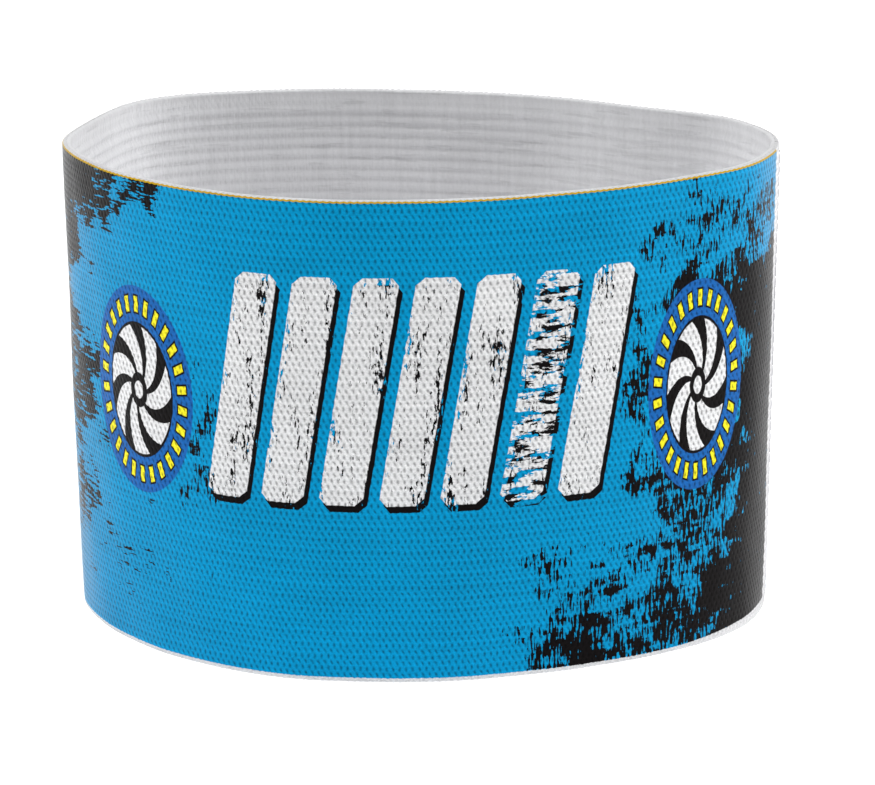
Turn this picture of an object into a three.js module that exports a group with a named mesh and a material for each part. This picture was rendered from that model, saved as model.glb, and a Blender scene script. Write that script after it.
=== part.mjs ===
// A captain's armband: one loop of wide knitted elastic, worn round the upper arm.
//
// Millimetres, +Z up. The loop stands on its lower selvage, as it does on a table when it is taken off. The origin is
// on that surface, under the middle of the loop's outline. +X runs along the longer width, and -Y is the front.

import * as THREE from "three";
import { mergeVertices } from "three/addons/utils/BufferGeometryUtils.js";

// Driving dimensions

const bandHeight = 65; // lower selvage to upper selvage
const loopWidth = 96; // left to right over the outer face, at the upper selvage
const loopDepth = 68.5; // front to back over the outer face, at the upper selvage
const wallThickness = 1.3; // outer face to the crests of the inner ribs
const selvageRound = 0.35; // radius of the two corners of each selvage
const selvageMargin = 1.3; // plain height between a selvage and the nearest rib
const ribPitch = 1.6; // height of one rib of the inner face
const ribDepth = 0.35; // crest to furrow
const footDrawSides = 0.4; // how far the lower selvage draws in at the left and the right
const footDrawFront = 2; // how far the lower selvage draws in at the front

// How fine the facets are

const stations = 56; // cross sections round the loop
const cornerSteps = 3; // facets in each rounded corner

// The loop is slack, so its outline is an uneven oval. Each row gives a bearing seen from above, in degrees from +X
// towards the back, and the bow there as a share of an even oval of the loop's width and depth.

const outlineRows = [
  { bearing: 0, bow: 1.0 },
  { bearing: 22.5, bow: 0.975 },
  { bearing: 45, bow: 0.885 },
  { bearing: 67.5, bow: 0.91 },
  { bearing: 90, bow: 0.96 },
  { bearing: 112.5, bow: 1.07 },
  { bearing: 135, bow: 1.145 },
  { bearing: 157.5, bow: 1.03 },
  { bearing: 180, bow: 0.995 },
  { bearing: 202.5, bow: 0.96 },
  { bearing: 225, bow: 0.97 },
  { bearing: 247.5, bow: 1.0 },
  { bearing: 270, bow: 0.985 },
  { bearing: 292.5, bow: 0.95 },
  { bearing: 315, bow: 0.955 },
  { bearing: 337.5, bow: 0.995 },
];

// The closed curve that the outer face follows at the upper selvage, counter-clockwise from above.
function loopOutline() {
  const points = outlineRows.map(({ bearing, bow }) => {
    const angle = THREE.MathUtils.degToRad(bearing);
    const across = (bow * loopWidth * Math.cos(angle)) / 2;
    const along = (bow * loopDepth * Math.sin(angle)) / 2;
    return new THREE.Vector3(across, along, 0);
  });
  const curve = new THREE.CatmullRomCurve3(points, true);
  curve.arcLengthDivisions = 40 * stations;
  return curve;
}

// The section through the wall, as depth behind the outer face and height above the lower selvage. It starts at the
// foot of the outer face, climbs it, crosses the upper selvage, comes down the ribs and closes along the lower selvage.
function wallSection() {
  const section = [];
  const round = Math.min(selvageRound, 0.4 * wallThickness);
  const addPoint = (depth, height) => section.push(new THREE.Vector2(depth, height));

  // A quarter turn about the middle of a corner, clockwise from the given angle.
  const addCorner = (depth, height, startDegrees) => {
    for (let step = 0; step <= cornerSteps; step++) {
      const angle = THREE.MathUtils.degToRad(startDegrees - (90 * step) / cornerSteps);
      addPoint(depth + round * Math.cos(angle), height + round * Math.sin(angle));
    }
  };

  addCorner(round, round, 270);
  addCorner(round, bandHeight - round, 180);
  addCorner(wallThickness - round, bandHeight - round, 90);

  const ribCount = Math.max(1, Math.floor((bandHeight - 2 * selvageMargin) / ribPitch));
  const ribsTop = (bandHeight + ribCount * ribPitch) / 2;
  for (let rib = 0; rib < ribCount; rib++) {
    const furrowHeight = ribsTop - rib * ribPitch;
    addPoint(wallThickness - ribDepth, furrowHeight);
    addPoint(wallThickness, furrowHeight - ribPitch / 2);
  }
  addPoint(wallThickness - ribDepth, ribsTop - ribCount * ribPitch);

  addCorner(wallThickness - round, round, 0);
  section.push(section[0].clone());
  return section;
}

// Moves a point of the outline at the upper selvage to where the outer face is at a lower height.
function drawnIn(outlinePoint, height) {
  const drop = 1 - height / bandHeight;
  const side = (2 * outlinePoint.x) / loopWidth;
  const front = Math.min(0, (2 * outlinePoint.y) / loopDepth);
  const x = outlinePoint.x - footDrawSides * drop * side * Math.abs(side);
  const y = outlinePoint.y + footDrawFront * drop * front * front;
  return { x, y };
}

// Turns the section round a full circle, then sets each of its cross sections on the loop's own outline.
function bandGeometry() {
  const section = wallSection();
  const outline = loopOutline();
  const geometry = new THREE.LatheGeometry(section, stations);
  const position = geometry.getAttribute("position");

  for (let index = 0; index < position.count; index++) {
    const station = Math.floor(index / section.length) % stations;
    const { x: depth, y: height } = section[index % section.length];
    const turn = station / stations;
    const tangent = outline.getTangentAt(turn);
    const face = drawnIn(outline.getPointAt(turn), height);
    position.setXYZ(index, face.x - tangent.y * depth, face.y + tangent.x * depth, height);
  }

  geometry.deleteAttribute("normal");
  geometry.deleteAttribute("uv");
  const band = mergeVertices(geometry);
  band.computeBoundingBox();
  const middle = band.boundingBox.getCenter(new THREE.Vector3());
  band.translate(-middle.x, -middle.y, 0);
  band.computeVertexNormals();
  return band;
}

const printedElastic = new THREE.MeshStandardMaterial({ color: 0x0099d8, roughness: 0.85, metalness: 0 });

const elasticBand = new THREE.Mesh(bandGeometry(), printedElastic);
elasticBand.name = "elastic_band";

const armband = new THREE.Group();
armband.add(elasticBand);

export default armband;
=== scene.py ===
"""A captain's armband: a loop of wide knitted elastic with a printed face, standing on its lower selvage."""

import math

import bmesh
import bpy
import numpy as np
from bpy.props import FloatProperty, FloatVectorProperty, IntProperty, PointerProperty
from mathutils import Euler, Matrix, Vector


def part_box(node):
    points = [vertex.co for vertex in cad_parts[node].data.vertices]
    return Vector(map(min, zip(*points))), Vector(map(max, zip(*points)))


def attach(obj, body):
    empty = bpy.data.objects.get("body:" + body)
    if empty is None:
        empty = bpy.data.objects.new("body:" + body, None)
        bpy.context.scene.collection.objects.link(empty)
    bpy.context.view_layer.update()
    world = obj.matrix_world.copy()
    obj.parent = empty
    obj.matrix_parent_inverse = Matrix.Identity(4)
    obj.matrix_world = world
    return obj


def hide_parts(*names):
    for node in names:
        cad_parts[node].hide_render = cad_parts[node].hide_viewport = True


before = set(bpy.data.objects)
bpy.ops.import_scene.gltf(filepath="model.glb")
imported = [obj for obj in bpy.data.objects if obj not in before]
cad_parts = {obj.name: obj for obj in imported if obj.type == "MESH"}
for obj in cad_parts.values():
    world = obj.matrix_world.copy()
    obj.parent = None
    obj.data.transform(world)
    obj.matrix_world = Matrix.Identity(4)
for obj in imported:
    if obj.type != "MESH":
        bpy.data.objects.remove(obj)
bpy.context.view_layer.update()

bl_info = {
    "name": "Captain's armband",
    "version": (1, 0),
    "blender": (4, 5, 0),
    "location": "3D View > Sidebar > Armband",
    "description": "Builds a captain's armband of printed, knitted elastic, and a plain studio round it",
    "category": "Object",
}

MM = 0.001
FOOT, TOP = (corner.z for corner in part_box("elastic_band"))


def ink(red, green, blue):
    """A colour read off a screen, from 0 to 255 each, as the linear colour that shaders take."""
    shares = (red / 255, green / 255, blue / 255)
    linear = [share / 12.92 if share <= 0.04045 else ((share + 0.055) / 1.055) ** 2.4 for share in shares]
    return (*linear, 1.0)


def length(name, description, millimetres):
    """A length that a user may change."""
    metres = millimetres * MM
    return FloatProperty(name=name, description=description, default=metres, unit="LENGTH", precision=5)


def whole_number(name, description, default):
    """A count that a user may change."""
    return IntProperty(name=name, description=description, default=default)


def plain_number(name, description, default):
    """A number without a unit of Blender's own that a user may change."""
    return FloatProperty(name=name, description=description, default=default)


def colour(name, description, default):
    """A colour that a user may change."""
    return FloatVectorProperty(name=name, description=description, default=default, subtype="COLOR", size=4)


class ArmbandCloth(bpy.types.PropertyGroup):
    """Sizes of the knitted elastic."""

    stitch_columns: whole_number("Stitch columns", "Columns of stitches round the band", 304)
    stitch_rows: whole_number("Stitch rows", "Rows of stitches up the band", 80)
    hollow_depth: length("Hollow depth", "How deep the hollow between two stitches is", 0.055)
    wall: length("Wall", "Thickness of the elastic over the crests of its ribs", 1.3)
    selvage_round: length("Selvage round", "Radius of the corners of both selvages", 0.35)
    rib_pitch: length("Rib pitch", "Height of one rib of the inner face", 1.6)
    rib_depth: length("Rib depth", "From the crest to the furrow of a rib", 0.35)
    rib_margin: length("Rib margin", "Plain height between a selvage and the nearest rib", 1.3)
    pucker: length("Pucker", "How far the relaxed elastic strays in and out", 0.12)
    plain_white: colour("Plain white", "Unprinted elastic", ink(226, 226, 228))
    thread_white: colour("Thread white", "Sewing thread of the join", ink(186, 186, 190))


class ArmbandPrint(bpy.types.PropertyGroup):
    """Places, sizes and colours of the print."""

    join_place: length("Join", "Where the two ends of the elastic meet, from the front middle", 62.0)
    margin_before: length("Margin before the join", "Unprinted elastic to the left of the join", 4.6)
    margin_after: length("Margin after the join", "Unprinted elastic to the right of the join", 2.4)
    foot_margin: length("Foot margin", "Unprinted elastic along the lower selvage", 0.7)
    edge_line: length("Edge line", "How far below the upper selvage the gold line starts", 0.26)
    edge_line_width: length("Edge line width", "Width of the gold line", 0.25)
    sky_blue: colour("Sky blue", "Ground colour", ink(0, 143, 195))
    brush_black: colour("Brush black", "Brushed shapes and shadows", ink(12, 8, 9))
    bar_white: colour("Bar white", "The bars across the front", ink(222, 222, 223))
    badge_blue: colour("Badge blue", "Rings of the two badges", ink(24, 96, 170))
    tick_yellow: colour("Tick yellow", "Marks round the badges", ink(238, 228, 40))
    edge_gold: colour("Edge gold", "The line along the upper selvage", ink(196, 158, 20))


class ArmbandStudio(bpy.types.PropertyGroup):
    """The view and the light."""

    elevation: plain_number("Elevation", "Camera above the horizon, in degrees", 17.425)
    roll: plain_number("Roll", "Turn of the camera about its own line of sight, in degrees", -0.317)
    distance: length("Distance", "From the camera to its aim", 437.1)
    focal_length: plain_number("Focal length", "In millimetres, on a 36 mm sensor", 130.4)
    aim: FloatVectorProperty(
        name="Aim",
        description="What the camera looks at",
        default=(0.00218, 0.0027, 0.028785),
        unit="LENGTH",
        precision=5,
    )
    lamp_side: length("Lamp side", "Side of each square lamp", 800)
    left_watts: plain_number("Left lamp", "Power of the lamp at the left, in watts", 10.2)
    right_watts: plain_number("Right lamp", "Power of the lamp at the right, in watts", 12.4)
    daylight: plain_number("Daylight", "Strength of the even light from all round", 0.14)
    floor_glow: plain_number("Floor glow", "How brightly the table top shines by itself", 0.64)


# Shader nodes


class Bench:
    """Places shader nodes in one tree and links what feeds them."""

    def __init__(self, tree):
        self.tree = tree
        self.placed = 0

    def add(self, kind, feeds=None, **settings):
        node = self.tree.nodes.new(kind)
        node.location = (190 * (self.placed // 7), -170 * (self.placed % 7))
        self.placed += 1
        for name, value in settings.items():
            setattr(node, name, value)
        for socket, value in (feeds or {}).items():
            self.feed(node.inputs[socket], value)
        return node

    def feed(self, socket, value):
        if isinstance(value, bpy.types.NodeSocket):
            self.tree.links.new(value, socket)
        else:
            socket.default_value = value

    def maths(self, operation, *values):
        return self.add("ShaderNodeMath", dict(enumerate(values)), operation=operation).outputs[0]

    def vector(self, operation, *values):
        return self.add("ShaderNodeVectorMath", dict(enumerate(values)), operation=operation).outputs[0]

    def parts(self, vector):
        return self.add("ShaderNodeSeparateXYZ", {0: vector}).outputs

    def reach(self, vector):
        return self.add("ShaderNodeVectorMath", {0: vector}, operation="LENGTH").outputs["Value"]

    def joined(self, across, up):
        return self.add("ShaderNodeCombineXYZ", {0: across, 1: up}).outputs[0]

    def noise(self, place, grain, detail=2.0, rough=0.5, start=(0.0, 0.0)):
        """Noise from 0 to 1. The grain is the length and height of one blot, in metres."""
        scaled = self.vector("MULTIPLY_ADD", place, (1 / grain[0], 1 / grain[1], 0), (start[0], start[1], 0))
        feeds = {"Vector": scaled, "Scale": 1.0, "Detail": detail, "Roughness": rough}
        return self.add("ShaderNodeTexNoise", feeds, noise_dimensions="2D").outputs[0]

    def step(self, value, edge, soft):
        """1 where the value is past the edge, 0 short of it, and smooth between."""
        if isinstance(edge, bpy.types.NodeSocket):
            low = self.maths("SUBTRACT", edge, soft)
            high = self.maths("ADD", edge, soft)
        else:
            low = edge - soft
            high = edge + soft
        feeds = {"Value": value, "From Min": low, "From Max": high}
        return self.add("ShaderNodeMapRange", feeds, interpolation_type="SMOOTHSTEP").outputs[0]

    def mix(self, share, under, over):
        node = self.add("ShaderNodeMix", data_type="RGBA")
        for socket, value in ((0, share), (6, under), (7, over)):
            self.feed(node.inputs[socket], value)
        return node.outputs[2]

    def vary(self, tone, mask, spread):
        """The tone, less half the spread where the mask is 0 and plus half of it where the mask is 1."""
        return self.maths("MULTIPLY_ADD", mask, spread, self.maths("ADD", tone, -spread / 2))

    def toned(self, hue, tone):
        """A colour made lighter or darker by a tone, which is 1 where it stays as it is."""
        scaled = self.add("ShaderNodeVectorMath", {0: hue}, operation="SCALE")
        self.feed(scaled.inputs["Scale"], tone)
        return scaled.outputs[0]

    def group(self, name, feeds):
        node = self.add("ShaderNodeGroup", node_tree=bpy.data.node_groups[name])
        for socket, value in feeds.items():
            self.feed(node.inputs[socket], value)
        return node.outputs


def new_group(name, takes, gives):
    """A shader node group, with the bench to fill it, what comes in and what goes out."""
    tree = bpy.data.node_groups.new(name, "ShaderNodeTree")
    for direction, sockets in (("INPUT", takes), ("OUTPUT", gives)):
        for label, kind in sockets.items():
            tree.interface.new_socket(label, in_out=direction, socket_type="NodeSocket" + kind)
    bench = Bench(tree)
    return bench, bench.add("NodeGroupInput").outputs, bench.add("NodeGroupOutput").inputs


def make_stitch_group():
    """Rows of hollows between knitted stitches, each row half a stitch along from the last."""
    takes = {"Place": "Vector", "Stitch": "Float", "Row": "Float", "Slant": "Float"}
    gives = {"Hollow": "Float", "Crest": "Float", "Height": "Float"}
    bench, given, out = new_group("knit_hollows", takes, gives)
    sway = 0.22 * MM
    hollow_width, width_spread = 0.32, 0.08
    hollow_height, height_spread = 0.58, 0.16
    furrow_stretch, furrow_share = 2.4, 0.16
    crest_share = 0.15
    drift = bench.noise(given["Place"], (0.003, 0.002), detail=1.0)
    nudge = bench.maths("MULTIPLY_ADD", drift, sway, -sway / 2)
    place = bench.vector("ADD", given["Place"], bench.joined(nudge, nudge))
    x, y, _ = bench.parts(place)
    along = bench.maths("DIVIDE", x, given["Stitch"])
    up = bench.maths("DIVIDE", y, given["Row"])
    row = bench.maths("ROUND", up)
    rise = bench.maths("SUBTRACT", up, row)
    odd = bench.maths("ABSOLUTE", bench.maths("MODULO", row, 2.0))
    shifted = bench.maths("MULTIPLY_ADD", odd, 0.5, along)
    wobble = bench.noise(given["Place"], (0.0011, 0.0008), detail=1.0, start=(3.3, 6.6))
    slant = bench.maths("MULTIPLY_ADD", odd, given["Slant"], bench.maths("MULTIPLY_ADD", wobble, 0.9, -0.4))
    leaned = bench.maths("MULTIPLY_ADD", rise, slant, shifted)
    column = bench.maths("ROUND", leaned)
    side = bench.maths("SUBTRACT", leaned, column)
    cell = bench.joined(column, row)
    chance = bench.add("ShaderNodeTexWhiteNoise", {"Vector": cell}, noise_dimensions="2D").outputs[0]
    wide = bench.maths("MULTIPLY_ADD", chance, width_spread, hollow_width)
    tall = bench.maths("MULTIPLY_ADD", chance, height_spread, hollow_height)

    def spot(shift_side, shift_rise, stretch):
        """1 inside an oval that is moved off the middle of its stitch and drawn out upwards."""
        away_x = bench.maths("DIVIDE", bench.maths("ADD", side, shift_side), wide)
        half_tall = bench.maths("MULTIPLY", tall, stretch)
        away_y = bench.maths("DIVIDE", bench.maths("ADD", rise, shift_rise), half_tall)
        return bench.step(bench.reach(bench.joined(away_x, away_y)), 0.5, -0.5)

    odd_share = bench.maths("MULTIPLY_ADD", odd, 0.08, 1.0)
    depth_share = bench.maths("MULTIPLY_ADD", chance, -0.24, odd_share)
    hollow = bench.maths("MULTIPLY", spot(0.0, 0.0, 1.0), depth_share)
    furrow = bench.maths("MULTIPLY", spot(0.0, 0.0, furrow_stretch), bench.maths("SUBTRACT", 1.0, odd))
    crest = spot(bench.maths("MULTIPLY_ADD", odd, 0.5, -0.22), bench.maths("SUBTRACT", odd, 0.6), 1.0)
    raised = bench.maths("MULTIPLY", crest, crest_share)
    # Hollow is a mask for painted shade in each hollow, with a fainter, taller painted shade round the
    # hollows of every other row; Crest is a mask for a painted highlight; Height is the relief for the bump.
    bench.feed(out["Hollow"], bench.maths("MULTIPLY_ADD", furrow, furrow_share, hollow))
    bench.feed(out["Crest"], crest)
    bench.feed(out["Height"], bench.maths("MULTIPLY_ADD", hollow, -1.0, raised))


def make_fibre_group():
    """Fine fibres of the yarn, and slow patches where the elastic lies looser or tighter."""
    bench, given, out = new_group("yarn_fibres", {"Place": "Vector"}, {"Fibre": "Float", "Patch": "Float"})
    fibre = bench.noise(given["Place"], (0.00040, 0.00026), detail=3.0, rough=0.8)
    courses = bench.noise(given["Place"], (0.016, 0.0011), detail=2.0, rough=0.6, start=(1.5, 2.5))
    slack = bench.noise(given["Place"], (0.014, 0.009), detail=2.0)
    bench.feed(out["Fibre"], fibre)
    bench.feed(out["Patch"], bench.maths("MULTIPLY", bench.maths("ADD", slack, courses), 0.5))


def make_scratch_group():
    """Where ink is missing: upright flecks, gathered in some places."""
    bench, given, out = new_group("worn_flecks", {"Place": "Vector", "Wear": "Float"}, {"Missing": "Float"})
    gathering, unworn_limit = 0.9, 1.24
    flecks = bench.noise(given["Place"], (0.00036, 0.0011), detail=3.0, rough=0.6)
    gathered = bench.noise(given["Place"], (0.0017, 0.0100), detail=2.0, start=(7.3, 2.1))
    worn = bench.maths("MULTIPLY_ADD", gathered, gathering, flecks)
    limit = bench.maths("SUBTRACT", unworn_limit, given["Wear"])
    bench.feed(out["Missing"], bench.step(worn, limit, 0.015))


def make_brush_group():
    """Marks of a dry brush, about -3 to 3: blots, and streaks that lie level at the left, else upright."""
    bench, given, out = new_group("brush_marks", {"Place": "Vector"}, {"Marks": "Float"})
    turning_place, turning_width = -36 * MM, 6 * MM
    streak_force, blot_force, band_force, mass_force = 7.6, 3.4, 3.6, 4.4
    average = (streak_force + blot_force + band_force + mass_force) / 2
    x, _, _ = bench.parts(given["Place"])
    rightward = bench.step(x, turning_place, turning_width)
    upright = bench.noise(given["Place"], (0.00036, 0.0023), detail=2.0, rough=0.5)
    level = bench.noise(given["Place"], (0.0024, 0.00042), detail=2.0, rough=0.5)
    streaks = bench.maths("MULTIPLY_ADD", bench.maths("SUBTRACT", upright, level), rightward, level)
    blots = bench.noise(given["Place"], (0.0018, 0.0024), detail=2.0, rough=0.6, start=(5.5, 1.7))
    bands = bench.noise(given["Place"], (0.0040, 0.0009), detail=2.0, rough=0.6, start=(2.2, 8.4))
    masses = bench.noise(given["Place"], (0.0060, 0.0075), detail=2.0, start=(0.6, 6.1))
    total = bench.maths("MULTIPLY", masses, mass_force)
    total = bench.maths("MULTIPLY_ADD", bands, band_force, total)
    total = bench.maths("MULTIPLY_ADD", blots, blot_force, total)
    total = bench.maths("MULTIPLY_ADD", streaks, streak_force, total)
    bench.feed(out["Marks"], bench.maths("SUBTRACT", total, average))


def make_bar_group():
    """A row of slanted bars with cut corners, numbered from the middle one."""
    takes = {"Place": "Vector", "Middle": "Float"}
    bench, given, out = new_group("leaning_bars", takes, {"Bar": "Float", "Number": "Float"})
    pitch, width, height, cut = 7.8 * MM, 5.7 * MM, 30.4 * MM, 1.0 * MM
    lean, last_number = 0.17, 3.0
    fray = 0.16 * MM
    ragged = bench.noise(given["Place"], (0.0006, 0.0011), detail=2.0, start=(3.0, 9.0))
    x, y, _ = bench.parts(given["Place"])
    above = bench.maths("SUBTRACT", y, given["Middle"])
    straightened = bench.maths("MULTIPLY_ADD", above, -lean, x)
    nearest = bench.maths("ROUND", bench.maths("DIVIDE", straightened, pitch))
    number = bench.maths("MAXIMUM", bench.maths("MINIMUM", nearest, last_number), -last_number)
    off = bench.maths("ABSOLUTE", bench.maths("MULTIPLY_ADD", number, -pitch, straightened))
    far = bench.maths("ABSOLUTE", above)
    side_room = bench.maths("SUBTRACT", width / 2, off)
    end_room = bench.maths("SUBTRACT", height / 2, far)
    corner_room = bench.maths("ADD", bench.maths("ADD", side_room, end_room), -cut)
    room = bench.maths("MINIMUM", bench.maths("MINIMUM", side_room, end_room), corner_room)
    frayed = bench.vary(room, ragged, fray)
    bench.feed(out["Bar"], bench.step(frayed, 0.0, 0.00004))
    bench.feed(out["Number"], number)


def make_badge_group():
    """An oval badge: a blue ring with yellow ticks, round a white disc with curved black blades."""
    takes = {
        "Place": "Vector", "Centre": "Vector", "Half Size": "Vector",
        "Under": "Color", "Blue": "Color", "Yellow": "Color", "Black": "Color", "White": "Color",
    }
    bench, given, out = new_group("oval_badge", takes, {"Color": "Color"})
    rim, ticks_out, ticks_in, disc = 1.0, 0.90, 0.75, 0.655
    tick_width, outline_width, outline_past = 0.038, 0.058, 0.02
    tick_half_turn = math.pi / 26
    blade_half_turn = math.pi / 7
    blade_share, blade_sweep = 0.40, 1.5
    hub, hub_hole = 0.17, 0.085
    centred = bench.vector("SUBTRACT", given["Place"], given["Centre"])
    scaled = bench.vector("DIVIDE", centred, given["Half Size"])
    x, y, _ = bench.parts(scaled)
    flat = bench.joined(x, y)
    reach = bench.reach(flat)
    turn = bench.maths("ARCTAN2", x, y)

    within_badge = bench.step(reach, rim, -0.006)
    fold = bench.maths("PINGPONG", turn, tick_half_turn)
    tick_side = bench.maths("MULTIPLY", fold, reach)

    def tick_shape(width, past):
        """The ticks, so far to each side and so far past both of their ends."""
        short_of_rim = bench.step(reach, ticks_out + past, -0.004)
        past_disc = bench.step(reach, ticks_in - past, 0.004)
        beside = bench.step(tick_side, width, -0.004)
        return bench.maths("MULTIPLY", beside, bench.maths("MULTIPLY", short_of_rim, past_disc))

    outline = tick_shape(outline_width, outline_past)
    tick = tick_shape(tick_width, 0)
    within_disc = bench.step(reach, disc, -0.005)
    disc_edge = bench.step(reach, disc - 0.03, 0.005)

    swept = bench.maths("MULTIPLY_ADD", reach, blade_sweep, turn)
    blade_fold = bench.maths("DIVIDE", bench.maths("PINGPONG", swept, blade_half_turn), blade_half_turn)
    blade_edge = bench.maths("MULTIPLY_ADD", reach, 0.35, blade_share - 0.16)
    blade_room = bench.maths("SUBTRACT", blade_edge, blade_fold)
    blade = bench.step(bench.maths("MULTIPLY", blade_room, reach), 0.0, 0.004)
    middle = bench.step(reach, hub, -0.005)
    middle_hole = bench.step(reach, hub_hole, -0.005)
    ring = bench.mix(outline, given["Blue"], given["Black"])
    ring = bench.mix(tick, ring, given["Yellow"])
    face = bench.mix(bench.maths("MAXIMUM", blade, disc_edge), given["White"], given["Black"])
    face = bench.mix(middle, face, given["Black"])
    face = bench.mix(middle_hole, face, given["White"])
    badge = bench.mix(within_disc, ring, face)
    bench.feed(out["Color"], bench.mix(within_badge, given["Under"], badge))


def make_groups():
    make_stitch_group()
    make_fibre_group()
    make_scratch_group()
    make_brush_group()
    make_bar_group()
    make_badge_group()


def new_material(name):
    material = bpy.data.materials.new(name)
    material.use_nodes = True
    material.node_tree.nodes.clear()
    bench = Bench(material.node_tree)
    shader = bench.add("ShaderNodeBsdfPrincipled")
    output = bench.add("ShaderNodeOutputMaterial")
    bench.feed(output.inputs["Surface"], shader.outputs[0])
    return material, bench, shader.inputs


def read_cloth(bench, shape, slant):
    """The place on the cloth in metres from the front middle and the foot, and its knit and its yarn."""
    place = bench.add("ShaderNodeUVMap", uv_map="cloth").outputs[0]
    from_first = bench.vector("SUBTRACT", place, (shape.start, shape.first_row, 0))
    feeds = {"Place": from_first, "Stitch": shape.stitch, "Row": shape.row, "Slant": slant}
    return place, bench.group("knit_hollows", feeds), bench.group("yarn_fibres", {"Place": place})


def paint_bars(bench, place, under, settings):
    """The white bars over their black shadow, both worn, with one bar slashed."""
    middle = 39.9 * MM
    shadow_right, shadow_down = 0.5 * MM, 0.9 * MM
    slashed_number, slashed_share = 2.0, 0.52
    bars = bench.group("leaning_bars", {"Place": place, "Middle": middle})
    slashed = bench.maths("COMPARE", bars["Number"], slashed_number, 0.25)

    shadow_place = bench.vector("ADD", place, (-shadow_right, shadow_down, 0))
    shadow = bench.group("leaning_bars", {"Place": shadow_place, "Middle": middle})["Bar"]
    worn = bench.group("worn_flecks", {"Place": shadow_place, "Wear": 0.0})["Missing"]
    bare = bench.noise(place, (0.0030, 0.0016), detail=3.0, rough=0.6, start=(6.0, 3.0))
    torn = bench.maths("MULTIPLY", slashed, bench.step(bare, slashed_share, 0.01))
    shadow_kept = bench.maths("SUBTRACT", 1.0, bench.maths("MAXIMUM", worn, torn))
    shadow_mask = bench.maths("MULTIPLY", shadow, shadow_kept)
    under = bench.mix(shadow_mask, under, tuple(settings.brush_black))

    missing = bench.group("worn_flecks", {"Place": place, "Wear": 0.10})["Missing"]
    slashes = bench.noise(place, (0.0036, 0.0010), detail=4.0, rough=0.65, start=(1.0, 4.0))
    cuts = bench.maths("MULTIPLY", slashed, bench.step(slashes, slashed_share, 0.01))
    kept = bench.maths("SUBTRACT", 1.0, bench.maths("MAXIMUM", missing, cuts))
    bar_mask = bench.maths("MULTIPLY", bars["Bar"], kept)
    return bench.mix(bar_mask, under, tuple(settings.bar_white))


# The middle of each oval badge, from the front middle and from the foot, and its half size, in millimetres.

BADGES = (
    {"along": -40.6, "height": 36.5, "half_along": 9.7, "half_height": 14.1},
    {"along": 39.0, "height": 36.9, "half_along": 8.0, "half_height": 14.4},
)


def paint_badges(bench, place, under, settings):
    """The two badges over what is printed under them."""
    for badge in BADGES:
        feeds = {
            "Place": place,
            "Centre": (badge["along"] * MM, badge["height"] * MM, 0),
            "Half Size": (badge["half_along"] * MM, badge["half_height"] * MM, 1),
            "Under": under,
            "Blue": tuple(settings.badge_blue),
            "Yellow": tuple(settings.tick_yellow),
            "Black": tuple(settings.brush_black),
            "White": tuple(settings.bar_white),
        }
        under = bench.group("oval_badge", feeds)["Color"]
    return under


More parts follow.
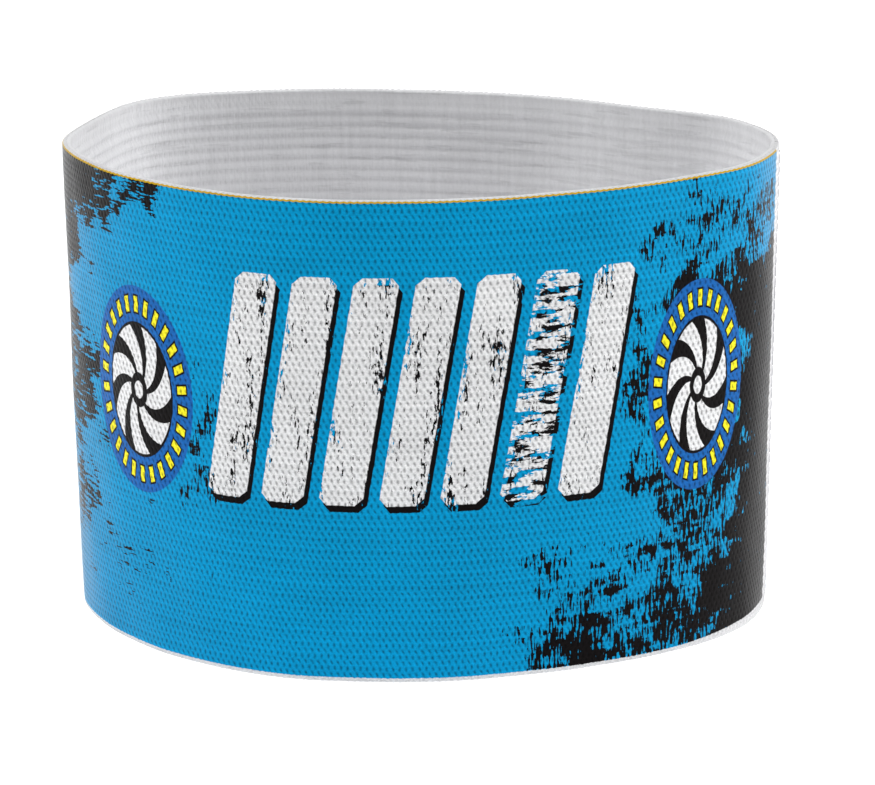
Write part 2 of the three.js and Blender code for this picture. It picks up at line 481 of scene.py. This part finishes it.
def print_material(shape, settings, plain_white):
    """The printed outer face: blue ground, brushed black, bars, badges, gold line and unprinted margins."""
    askew_from, askew_rise = 36 * MM, 0.055
    foot_fray = 0.2 * MM
    base_tone, pit_shade, crest_light = 1.02, 0.60, 0.15
    patch_spread, fibre_spread = 0.34, 0.8
    selvage_shade, join_shade, join_reach = 0.2, 0.5, 0.16 * MM
    material, bench, surface = new_material("printed_elastic")
    place, knit, yarn = read_cloth(bench, shape, slant=0.24)
    along, height, _ = bench.parts(place)

    cover = bench.add("ShaderNodeAttribute", attribute_name="black_cover").outputs["Fac"]
    brushed = bench.group("brush_marks", {"Place": place})["Marks"]
    black = bench.step(bench.maths("ADD", brushed, cover), 0.0, 0.08)
    printed = bench.mix(black, tuple(settings.sky_blue), tuple(settings.brush_black))
    printed = paint_bars(bench, place, printed, settings)
    printed = paint_badges(bench, place, printed, settings)

    gold_foot = TOP - settings.edge_line
    gold = bench.step(height, gold_foot, 0.03 * MM)
    above_gold = bench.step(height, gold_foot + settings.edge_line_width, 0.03 * MM)
    printed = bench.mix(gold, printed, tuple(settings.edge_gold))

    past_askew = bench.maths("MAXIMUM", bench.maths("SUBTRACT", along, askew_from), 0.0)
    foot_edge = bench.maths("MULTIPLY_ADD", past_askew, askew_rise, settings.foot_margin)
    foot_edge = bench.vary(foot_edge, yarn["Fibre"], foot_fray)
    foot = bench.maths("SUBTRACT", 1.0, bench.step(height, foot_edge, 0.04 * MM))
    selvages = bench.maths("MAXIMUM", foot, above_gold)
    join_right = bench.step(along, settings.join_place - settings.margin_before, 0.05 * MM)
    join_left = bench.step(along, shape.start + settings.margin_after, -0.05 * MM)
    unprinted = bench.maths("MAXIMUM", selvages, bench.maths("MAXIMUM", join_left, join_right))
    shown = bench.mix(unprinted, printed, tuple(plain_white))

    # Painted shade in the knit's hollows, kept off the foot and the gold line, and a painted highlight on its
    # crests.
    knitted = bench.maths("SUBTRACT", 1.0, bench.maths("MAXIMUM", foot, gold))
    pits = bench.maths("MULTIPLY", knit["Hollow"], bench.maths("MULTIPLY", knitted, -pit_shade))
    tone = bench.maths("MULTIPLY_ADD", knit["Crest"], crest_light, bench.maths("ADD", pits, base_tone))
    tone = bench.vary(tone, yarn["Patch"], patch_spread)
    tone = bench.vary(tone, yarn["Fibre"], fibre_spread)
    # Painted shade: both selvages a little darker.
    tone = bench.maths("MULTIPLY_ADD", selvages, -selvage_shade, tone)
    # Painted shade of a groove along the join of the two ends.
    to_right_end = bench.maths("ABSOLUTE", bench.maths("SUBTRACT", along, settings.join_place))
    to_left_end = bench.maths("ABSOLUTE", bench.maths("SUBTRACT", along, shape.start))
    butted = bench.step(bench.maths("MINIMUM", to_right_end, to_left_end), join_reach, -0.10 * MM)
    tone = bench.maths("MULTIPLY_ADD", butted, -join_shade, tone)
    bench.feed(surface["Base Color"], bench.toned(shown, tone))

    relief = bench.maths("MULTIPLY_ADD", yarn["Fibre"], 0.25, knit["Height"])
    bump = bench.add("ShaderNodeBump", {"Height": relief, "Strength": 0.35, "Distance": 0.08 * MM})
    bench.feed(surface["Normal"], bump.outputs[0])
    bench.feed(surface["Roughness"], bench.maths("MULTIPLY_ADD", yarn["Fibre"], 0.14, 0.72))
    surface["Specular IOR Level"].default_value = 0.02
    surface["Sheen Weight"].default_value = 0.95
    surface["Sheen Roughness"].default_value = 0.33
    return material


def plain_material(shape, settings):
    """Unprinted white elastic: the ribbed inner face and both selvages."""
    pit_shade, furrow_shade, crease_shade = 0.02, 0.05, 0.10
    column_spread, patch_spread, fibre_spread = 0.16, 0.14, 0.12
    material, bench, surface = new_material("white_elastic")
    place, knit, yarn = read_cloth(bench, shape, slant=0.0)
    columns = bench.noise(place, (0.0008, 0.009), detail=2.0, rough=0.7, start=(4.0, 4.0))
    creases = bench.noise(place, (0.009, 0.0009), detail=3.0, rough=0.55, start=(8.0, 1.0))
    creased = bench.step(creases, 0.64, 0.05)
    _, _, z = bench.parts(bench.add("ShaderNodeTexCoord").outputs["Object"])
    below_ribs = bench.maths("SUBTRACT", z, shape.ribs_top)
    turn = bench.maths("DIVIDE", below_ribs, settings.rib_pitch / (2 * math.pi))
    furrow = bench.maths("MULTIPLY_ADD", bench.maths("COSINE", turn), 0.5, 0.5)
    # Painted shade in the knit's hollows and in the furrows between the ribs.
    tone = bench.maths("MULTIPLY_ADD", knit["Hollow"], -pit_shade, 1.0)
    tone = bench.maths("MULTIPLY_ADD", furrow, -furrow_shade, tone)
    tone = bench.vary(tone, columns, column_spread)
    tone = bench.vary(tone, yarn["Patch"], patch_spread)
    tone = bench.vary(tone, yarn["Fibre"], fibre_spread)
    # Painted shade in scattered creases.
    tone = bench.maths("MULTIPLY_ADD", creased, -crease_shade, tone)
    bench.feed(surface["Base Color"], bench.toned(tuple(settings.plain_white)[:3], tone))
    relief = bench.maths("MULTIPLY_ADD", knit["Height"], 0.35, bench.maths("MULTIPLY", yarn["Fibre"], 0.4))
    relief = bench.maths("MULTIPLY_ADD", columns, 1.2, relief)
    bump = bench.add("ShaderNodeBump", {"Height": relief, "Strength": 0.6, "Distance": 0.1 * MM})
    bench.feed(surface["Normal"], bump.outputs[0])
    bench.feed(surface["Roughness"], bench.maths("MULTIPLY_ADD", yarn["Fibre"], 0.12, 0.80))
    surface["Specular IOR Level"].default_value = 0.2
    surface["Sheen Weight"].default_value = 0.25
    surface["Sheen Roughness"].default_value = 0.4
    return material


# The shape of the band, measured from the frame


def outer_corners(height):
    """The corner points of the CAD band's outer face at one height, in order round the loop from the back."""
    places = np.array([vertex.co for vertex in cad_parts["elastic_band"].data.vertices])
    same_height = np.abs(places[:, 2] - height) < 0.02 * MM
    ring = np.unique(np.round(places[same_height, :2], 6), axis=0)
    apart = np.linalg.norm(ring[:, None] - ring[None, :], axis=2)
    np.fill_diagonal(apart, np.inf)
    across_wall = apart.argmin(axis=1)
    reach = np.linalg.norm(ring, axis=1)
    outer = ring[reach > reach[across_wall]]
    bearing = np.arctan2(outer[:, 0], -outer[:, 1])
    return outer[np.argsort(bearing)]


def smooth_loop(points, steps):
    """A closed curve through the points, with so many short steps between neighbours."""
    before, end, after = (np.roll(points, shift, axis=0) for shift in (1, -1, -2))
    curve = []
    for share in np.linspace(0, 1, steps, endpoint=False):
        linear = share * (end - before)
        square = share**2 * (2 * before - 5 * points + 4 * end - after)
        cube = share**3 * (3 * points - before - 3 * end + after)
        curve.append(points + 0.5 * (linear + square + cube))
    return np.stack(curve, axis=1).reshape(-1, 2)


class BandShape:
    """Turns a length along the band, a depth behind its outer face and a height into a point."""

    def __init__(self, cloth, artwork):
        self.round = cloth.selvage_round
        steps_between_corners = 24
        self.foot = smooth_loop(outer_corners(FOOT + self.round), steps_between_corners)
        self.top = smooth_loop(outer_corners(TOP - self.round), steps_between_corners)
        following = np.roll(self.top, -1, axis=0)
        pieces = np.linalg.norm(following - self.top, axis=1)
        self.along = np.concatenate([[0], np.cumsum(pieces)])
        self.girth = self.along[-1]
        crossing = (self.top[:, 1] < 0) & (self.top[:, 0] <= 0) & (following[:, 0] > 0)
        self.middle = self.along[np.flatnonzero(crossing)[0]]
        self.start = artwork.join_place - self.girth
        self.stitch = self.girth / cloth.stitch_columns
        self.row = (TOP - FOOT) / cloth.stitch_rows
        self.first_row = FOOT + self.row / 2
        self.rib_count = int((TOP - FOOT - 2 * cloth.rib_margin) / cloth.rib_pitch)
        self.ribs_top = (TOP + FOOT + self.rib_count * cloth.rib_pitch) / 2

    def on_loop(self, loop, length_along):
        """Points of one of the two loops, at lengths from the front middle along the upper one."""
        measured = (length_along + self.middle) % self.girth
        closed = np.vstack([loop, loop[:1]])
        return np.stack([np.interp(measured, self.along, closed[:, axis]) for axis in (0, 1)], axis=-1)

    def place(self, length_along, depth, height):
        """Arrays of points. Depth may be negative, which is proud of the outer face."""
        reach = 0.4 * MM
        ahead = self.on_loop(self.top, length_along + reach)
        behind = self.on_loop(self.top, length_along - reach)
        tangent = (ahead - behind) / np.linalg.norm(ahead - behind, axis=-1)[..., None]
        share = (height - FOOT - self.round) / (TOP - FOOT - 2 * self.round)
        foot = self.on_loop(self.foot, length_along)
        top = self.on_loop(self.top, length_along)
        flat = foot + share[..., None] * (top - foot)
        x = flat[..., 0] - tangent[..., 1] * depth
        y = flat[..., 1] + tangent[..., 0] * depth
        return np.stack([x, y, height], axis=-1)


def wall_section(cloth, shape):
    """Depth and height of each row of the wall, lengths along it, the printed rows and the first knitted row.

    It starts under the outer face, climbs it, crosses the upper selvage, comes down the ribs and closes.
    """
    round_, wall = shape.round, cloth.wall
    corner_steps = 4
    rows = []

    def corner(depth, height, start_degrees):
        for step in range(corner_steps + 1):
            angle = math.radians(start_degrees - 90 * step / corner_steps)
            rows.append((depth + round_ * math.cos(angle), height + round_ * math.sin(angle)))

    corner(round_, FOOT + round_, 270)
    first_printed = corner_steps - 1
    face = [shape.first_row + index * shape.row for index in range(cloth.stitch_rows)]
    first_stitch = len(rows)
    rows.extend((0.0, height) for height in face)
    corner(round_, TOP - round_, 180)
    rows.append((wall / 2, TOP))
    last_printed = len(rows) - 2
    corner(wall - round_, TOP - round_, 90)

    steps_per_rib = 4
    for step in range(shape.rib_count * steps_per_rib + 1):
        fall = step / steps_per_rib
        bulge = 0.5 - 0.5 * math.cos(2 * math.pi * fall)
        rows.append((wall - cloth.rib_depth * (1 - bulge), shape.ribs_top - fall * cloth.rib_pitch))
    corner(wall - round_, FOOT + round_, 0)
    rows.append(rows[0])

    section = np.array(rows)
    steps = np.abs(np.diff(section, axis=0))
    steps[:, 0][steps[:, 1] > 0.3 * MM] = 0
    lengths = np.concatenate([[0], np.cumsum(np.linalg.norm(steps, axis=1))])
    lengths += section[first_stitch, 1] - lengths[first_stitch]
    return section, lengths, (first_printed, last_printed), first_stitch


# Where brushed black lies on the blue ground: the middle and half size of each patch, in millimetres from the
# front middle and from the foot, how dense the black is there, and over how many millimetres it fades.

BLACK_PATCHES = [
    {"along": -63, "height": 67, "half_along": 12, "half_height": 5, "dense": 3.0, "fade": 11},
    {"along": -71, "height": 59, "half_along": 12, "half_height": 6, "dense": 2.3, "fade": 10},
    {"along": -46, "height": 66, "half_along": 9, "half_height": 1.5, "dense": 1.2, "fade": 8},
    {"along": -70, "height": 42, "half_along": 9, "half_height": 1.5, "dense": 1.6, "fade": 8},
    {"along": -62, "height": 34, "half_along": 8, "half_height": 3, "dense": 1.2, "fade": 9},
    {"along": -60, "height": 20, "half_along": 4, "half_height": 5, "dense": -0.2, "fade": 9},
    {"along": -45, "height": 13, "half_along": 8, "half_height": 2, "dense": -1.7, "fade": 10},
    {"along": -29.5, "height": 31, "half_along": 0.5, "half_height": 6, "dense": -0.1, "fade": 5},
    {"along": 60, "height": 25, "half_along": 11, "half_height": 25, "dense": 2.6, "fade": 7},
    {"along": 52, "height": 3, "half_along": 8, "half_height": 8, "dense": 2.6, "fade": 8},
    {"along": 41, "height": 49, "half_along": 6, "half_height": 1, "dense": 1.8, "fade": 6},
    {"along": 39, "height": 13, "half_along": 4, "half_height": 12, "dense": 0.4, "fade": 9},
    {"along": 25, "height": 3, "half_along": 7, "half_height": 3, "dense": 0.5, "fade": 10},
    {"along": 23, "height": 14, "half_along": 7, "half_height": 1.5, "dense": -0.8, "fade": 6},
    {"along": 30, "height": 37, "half_along": 0.5, "half_height": 11, "dense": -0.3, "fade": 5},
    {"along": 47, "height": 58, "half_along": 12, "half_height": 1, "dense": -0.15, "fade": 9},
    {"along": -88, "height": 66, "half_along": 10, "half_height": 3, "dense": 1.2, "fade": 12},
    {"along": -98, "height": 24, "half_along": 8, "half_height": 4, "dense": 0.5, "fade": 20},
    {"along": -118, "height": 12, "half_along": 14, "half_height": 2, "dense": -0.3, "fade": 12},
    {"along": -142, "height": 50, "half_along": 9, "half_height": 5, "dense": 2.2, "fade": 18},
    {"along": -160, "height": 36, "half_along": 12, "half_height": 4, "dense": 1.5, "fade": 20},
    {"along": -176, "height": 18, "half_along": 10, "half_height": 3, "dense": 0.6, "fade": 18},
    {"along": -186, "height": 60, "half_along": 6, "half_height": 2, "dense": -0.4, "fade": 12},
]
CLEAN = -4.2


def stray(across, up):
    """How far the edge of a brushed patch wanders, about -2 to 2."""
    slow = np.sin(0.37 * across + 0.61 * up)
    quick = 0.7 * np.sin(0.83 * across - 0.47 * up + 2.1)
    upward = 0.5 * np.sin(1.31 * up)
    return slow + quick + upward


def black_cover(along, height):
    """How hard the brush presses: CLEAN where it never lies, 0 where half is black, 3 where all is."""
    cover = np.full_like(along, CLEAN)
    stray_across, stray_up = 1.6, 1.3
    straight_across, straight_up = along / MM, height / MM
    across = straight_across + stray_across * stray(straight_across, straight_up)
    up = straight_up + stray_up * stray(straight_up + 20, straight_across)
    for patch in BLACK_PATCHES:
        beyond_along = np.abs(across - patch["along"]) - patch["half_along"]
        beyond_height = np.abs(up - patch["height"]) - patch["half_height"]
        beyond = np.hypot(np.maximum(beyond_along, 0), np.maximum(beyond_height, 0))
        share = np.clip(1 - beyond / patch["fade"], 0, 1)
        eased = share * share * (3 - 2 * share)
        cover = np.maximum(cover, CLEAN + (patch["dense"] - CLEAN) * eased)
    return cover


def gentle_noise(along, height, girth):
    """Slow ins and outs of the relaxed elastic, from about -1 to 1, alike on both sides of the join."""
    turn = 2 * math.pi * along / girth
    rise = (height - FOOT) / (TOP - FOOT)
    waves = np.sin(9 * turn + 5 * rise)
    waves += 0.8 * np.sin(14 * turn - 9 * rise + 1.3)
    waves += 0.6 * np.sin(23 * turn + 16 * rise + 4.0)
    return waves / 2.4


def build_band(cloth, artwork):
    """The elastic itself: a grid rolled round the loop, with every stitch hollow and rib in its mesh."""
    shape = BandShape(cloth, artwork)
    section, lengths, printed, first_stitch = wall_section(cloth, shape)
    row_count = len(section) - 1
    fine_columns = 2 * cloth.stitch_columns
    inner_columns = cloth.stitch_columns // 2
    cuts = fine_columns // inner_columns - 1
    seed = 7
    crown, loop_rise = 0.03 * MM, 0.05 * MM

    bm = bmesh.new()
    bmesh.ops.create_grid(bm, x_segments=inner_columns, y_segments=row_count, size=0.5)
    last_fine = printed[1] + 1

    def row_of(vertex):
        return round((vertex.co.y + 0.5) * row_count)

    fine = [edge for edge in bm.edges if row_of(edge.verts[0]) == row_of(edge.verts[1]) <= last_fine]
    bmesh.ops.subdivide_edges(bm, edges=fine, cuts=cuts, use_grid_fill=True)

    bm.verts.ensure_lookup_table()
    spots = np.array([vertex.co for vertex in bm.verts])
    share_along = spots[:, 0] + 0.5
    row = np.rint((spots[:, 1] + 0.5) * row_count).astype(int)
    along = shape.start + share_along * shape.girth
    depth, height = section[row, 0], section[row, 1]

    uv = bm.loops.layers.uv.new("cloth")
    for face in bm.faces:
        face.smooth = True
        rows_here = [row[loop.vert.index] for loop in face.loops]
        face.material_index = int(not printed[0] <= min(rows_here) < max(rows_here) <= printed[1] + 1)
        for loop in face.loops:
            index = loop.vert.index
            loop[uv].uv = (along[index], lengths[row[index]])

    column = np.rint(share_along * fine_columns).astype(int) % fine_columns
    stitch_row = row - first_stitch
    on_face = (stitch_row > 0) & (stitch_row < cloth.stitch_rows - 1)
    chance = np.random.default_rng(seed).random((cloth.stitch_rows + 1, fine_columns))
    own_chance = chance[np.clip(stitch_row, 0, cloth.stitch_rows), column]
    hollow = on_face & ((column + stitch_row) % 2 == 0)
    dip = np.where(hollow, cloth.hollow_depth * (0.75 + 0.5 * own_chance), -crown * own_chance)
    depth = depth + np.where(on_face, dip, 0)
    on_fine_rim = (row <= last_fine) & ~on_face
    above_middle = height > (TOP + FOOT) / 2
    rim_loops = loop_rise * ((column % 2) * 2 - 1)
    height = height + np.where(on_fine_rim & above_middle, rim_loops, 0)
    height = height + np.where(on_fine_rim & ~above_middle, np.abs(rim_loops) * (column % 2), 0)
    depth = depth - cloth.pucker * gentle_noise(along, height, shape.girth)
    places = shape.place(along, depth, height)
    cover = black_cover(along, height)

    cover_layer = bm.verts.layers.float.new("black_cover")
    for vertex, spot, black in zip(bm.verts, places, cover):
        vertex.co = spot
        vertex[cover_layer] = black
    bmesh.ops.remove_doubles(bm, verts=bm.verts, dist=0.002 * MM)
    bmesh.ops.recalc_face_normals(bm, faces=bm.faces)

    mesh = bpy.data.meshes.new("knitted_band")
    bm.to_mesh(mesh)
    bm.free()
    band = bpy.data.objects.new("knitted_band", mesh)
    bpy.context.collection.objects.link(band)
    mesh.materials.append(print_material(shape, artwork, cloth.plain_white))
    mesh.materials.append(plain_material(shape, cloth))
    return band


def thread_material(settings):
    """White sewing thread, twisted."""
    material, bench, surface = new_material("sewing_thread")
    place = bench.add("ShaderNodeTexCoord").outputs["Object"]
    twist = bench.add("ShaderNodeTexNoise", {"Vector": place, "Scale": 6000.0, "Detail": 2.0}).outputs[0]
    tone = bench.vary(1.0, twist, 0.5)
    bench.feed(surface["Base Color"], bench.toned(tuple(settings.thread_white)[:3], tone))
    bump = bench.add("ShaderNodeBump", {"Height": twist, "Strength": 0.5, "Distance": 0.05 * MM})
    bench.feed(surface["Normal"], bump.outputs[0])
    bench.feed(surface["Roughness"], bench.maths("MULTIPLY_ADD", twist, 0.2, 0.5))
    return material


def sew_join(cloth, artwork):
    """Zigzag stitches over the join, on both faces of the elastic."""
    shape = BandShape(cloth, artwork)
    half_width, rise, margin = 1.5 * MM, 0.78 * MM, 0.9 * MM
    thread = 0.17 * MM
    count = int((TOP - FOOT - 2 * margin) / rise)
    sides = (-0.25 * thread, cloth.wall - 0.3 * cloth.rib_depth + 0.5 * thread)
    bm = bmesh.new()
    for depth in sides:
        corners = np.arange(count + 1)
        along = artwork.join_place + half_width * (1 - 2 * (corners % 2))
        places = shape.place(along, np.full(count + 1, depth), FOOT + margin + corners * rise)
        for start, end in zip(places[:-1], places[1:]):
            start, end = Vector(start), Vector(end)
            run = end - start
            turned = run.to_track_quat("Z", "Y").to_matrix().to_4x4()
            stretched = Matrix.Diagonal((thread, thread, run.length / 2 + 0.5 * thread, 1))
            place = Matrix.Translation((start + end) / 2) @ turned @ stretched
            bmesh.ops.create_uvsphere(bm, u_segments=8, v_segments=8, radius=1, matrix=place)
    bmesh.ops.recalc_face_normals(bm, faces=bm.faces)
    for face in bm.faces:
        face.smooth = True
    mesh = bpy.data.meshes.new("join_stitches")
    bm.to_mesh(mesh)
    bm.free()
    stitches = bpy.data.objects.new("join_stitches", mesh)
    bpy.context.collection.objects.link(stitches)
    mesh.materials.append(thread_material(cloth))
    return stitches


# The stage


def soft_box(name, place, aim, size, watts):
    """A square lamp that faces its aim."""
    lamp = bpy.data.lights.new(name, "AREA")
    lamp.shape = "SQUARE"
    lamp.size = size
    lamp.energy = watts
    holder = bpy.data.objects.new(name, lamp)
    holder.location = place
    holder.rotation_euler = (Vector(place) - Vector(aim)).to_track_quat("Z", "Y").to_euler()
    bpy.context.collection.objects.link(holder)


def floor_material(glow):
    """A pale, evenly lit table top."""
    material, bench, surface = new_material("pale_table")
    place = bench.add("ShaderNodeTexCoord").outputs["Object"]
    grain = bench.add("ShaderNodeTexNoise", {"Vector": place, "Scale": 900.0, "Detail": 3.0}).outputs[0]
    shade = bench.maths("MULTIPLY_ADD", grain, 0.01, 0.90)
    grey = bench.add("ShaderNodeCombineColor", {0: shade, 1: shade, 2: shade}).outputs[0]
    bench.feed(surface["Base Color"], grey)
    surface["Roughness"].default_value = 0.9
    surface["Specular IOR Level"].default_value = 0.1
    surface["Emission Color"].default_value = (1, 1, 1, 1)
    surface["Emission Strength"].default_value = glow
    return material


def build_stage(studio):
    """The floor, the camera, the lamps and the even light."""
    scene = bpy.context.scene
    half_floor, floor_back, floor_drop = 1.6, 0.3, 0.02 * MM
    bm = bmesh.new()
    bmesh.ops.create_grid(bm, x_segments=4, y_segments=4, size=half_floor)
    bmesh.ops.translate(bm, verts=bm.verts, vec=(0, floor_back, FOOT - floor_drop))
    mesh = bpy.data.meshes.new("table_top")
    bm.to_mesh(mesh)
    bm.free()
    floor = bpy.data.objects.new("table_top", mesh)
    mesh.materials.append(floor_material(studio.floor_glow))
    scene.collection.objects.link(floor)

    lens = bpy.data.cameras.new("camera")
    lens.sensor_width = 36
    lens.lens = studio.focal_length
    lens.clip_start = 0.01
    camera = bpy.data.objects.new("camera", lens)
    tilt = math.radians(studio.elevation)
    aim = Vector(studio.aim)
    camera.location = aim + studio.distance * Vector((0, -math.cos(tilt), math.sin(tilt)))
    level = Euler((math.pi / 2 - tilt, 0, 0)).to_matrix()
    rolled = Matrix.Rotation(math.radians(studio.roll), 3, "Z")
    camera.rotation_euler = (level @ rolled).to_euler()
    scene.collection.objects.link(camera)
    scene.camera = camera

    middle = (0, 0, (FOOT + TOP) / 2)
    aside, forward, above = 0.9, 0.1, 0.8
    soft_box("lamp_left", (-aside, -forward, above), middle, studio.lamp_side, studio.left_watts)
    soft_box("lamp_right", (aside, -forward, above), middle, studio.lamp_side, studio.right_watts)

    world = bpy.data.worlds.new("even_light")
    world.use_nodes = True
    background = world.node_tree.nodes["Background"]
    background.inputs["Color"].default_value = (1, 1, 1, 1)
    background.inputs["Strength"].default_value = studio.daylight
    scene.world = world
    scene.view_settings.view_transform = "Standard"


# Operators and panel


class ARMBAND_OT_stage(bpy.types.Operator):
    """Builds the table top, the camera and the light"""

    bl_idname = "armband.stage"
    bl_label = "Build the stage"

    def execute(self, context):
        build_stage(context.scene.armband_studio)
        return {"FINISHED"}


class ARMBAND_OT_band(bpy.types.Operator):
    """Builds the knitted elastic with its print"""

    bl_idname = "armband.band"
    bl_label = "Knit and print the band"

    def execute(self, context):
        make_groups()
        band = build_band(context.scene.armband_cloth, context.scene.armband_print)
        if not band.data.polygons:
            raise RuntimeError("The band has no faces.")
        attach(band, "root")
        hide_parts("elastic_band")
        return {"FINISHED"}


class ARMBAND_OT_join(bpy.types.Operator):
    """Sews the two ends of the elastic together"""

    bl_idname = "armband.join"
    bl_label = "Sew the join"

    def execute(self, context):
        stitches = sew_join(context.scene.armband_cloth, context.scene.armband_print)
        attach(stitches, "root")
        return {"FINISHED"}


class ARMBAND_PT_panel(bpy.types.Panel):
    """The armband's build steps"""

    bl_idname = "ARMBAND_PT_panel"
    bl_label = "Captain's armband"
    bl_space_type = "VIEW_3D"
    bl_region_type = "UI"
    bl_category = "Armband"

    def draw(self, context):
        for step in STEPS:
            self.layout.operator(step.bl_idname)
        for group in (context.scene.armband_cloth, context.scene.armband_print, context.scene.armband_studio):
            box = self.layout.box()
            for name in group.bl_rna.properties.keys():
                if name not in ("rna_type", "name"):
                    box.prop(group, name)


SETTINGS = {"armband_cloth": ArmbandCloth, "armband_print": ArmbandPrint, "armband_studio": ArmbandStudio}
STEPS = (ARMBAND_OT_stage, ARMBAND_OT_band, ARMBAND_OT_join)
CLASSES = (*SETTINGS.values(), *STEPS, ARMBAND_PT_panel)


def register():
    for each in CLASSES:
        bpy.utils.register_class(each)
    for name, group in SETTINGS.items():
        setattr(bpy.types.Scene, name, PointerProperty(type=group))


def unregister():
    for name in SETTINGS:
        delattr(bpy.types.Scene, name)
    for each in reversed(CLASSES):
        bpy.utils.unregister_class(each)


def main():
    register()
    bpy.ops.armband.stage()
    bpy.ops.armband.band()
    bpy.ops.armband.join()


if __name__ == "__main__":
    main()
